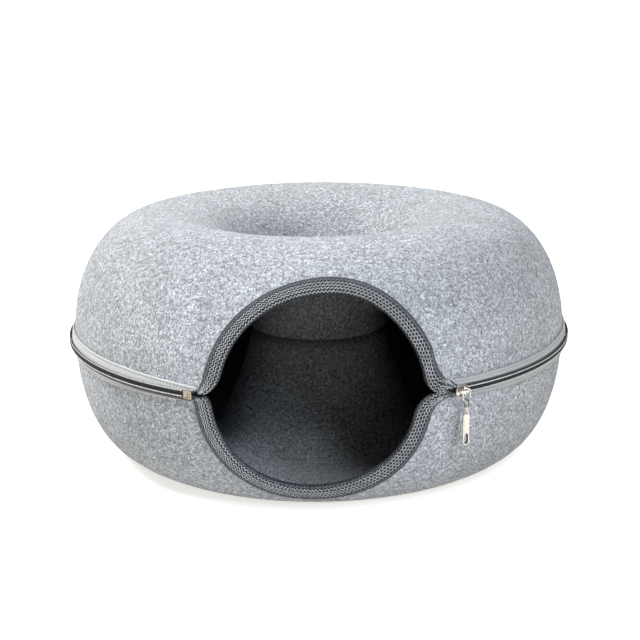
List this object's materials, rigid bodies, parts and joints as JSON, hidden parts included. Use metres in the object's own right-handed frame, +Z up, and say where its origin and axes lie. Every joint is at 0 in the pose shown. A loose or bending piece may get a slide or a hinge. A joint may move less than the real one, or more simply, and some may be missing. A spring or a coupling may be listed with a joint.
{
  "type": "donut cat tunnel",
  "caption": "Ring-shaped felt tunnel for a pet, in two moulded halves joined by a zip, with a round bound entrance and an open hole down the middle.",
  "frame": {"origin": "bottom centre of the whole box, on the floor; the ring's own axis stands 9.2 mm behind the box's front-to-back middle, at y = -9.2 mm", "axes": "+Z up through the hole, +X to the right of the entrance where the slider hangs, -Y out of the entrance"},
  "size_m": [0.5011, 0.4832, 0.2327],
  "materials": {
    "felt": "heather-grey needle felt with a fine fibre speckle",
    "braid": "grey braid with a herringbone middle",
    "zip_tape": "light grey woven zip tape",
    "zip_coil": "dark coil teeth with a soft gloss",
    "nickel": "bright nickel plate",
    "brass": "dull brass"
  },
  "bodies": {
    "root": {"upper_shell": "felt", "lower_shell": "felt", "upper_binding": "braid", "lower_binding": "braid", "upper_zip_tape": "zip_tape", "lower_zip_tape": "zip_tape", "upper_zip_coil": "zip_coil", "lower_zip_coil": "zip_coil", "zip_slider": "nickel", "pull_ring": "nickel", "pull_link_upper": "nickel", "pull_link_lower": "nickel", "pull_bar": "nickel", "bottom_stop": "brass"}
  },
  "joints": []
}
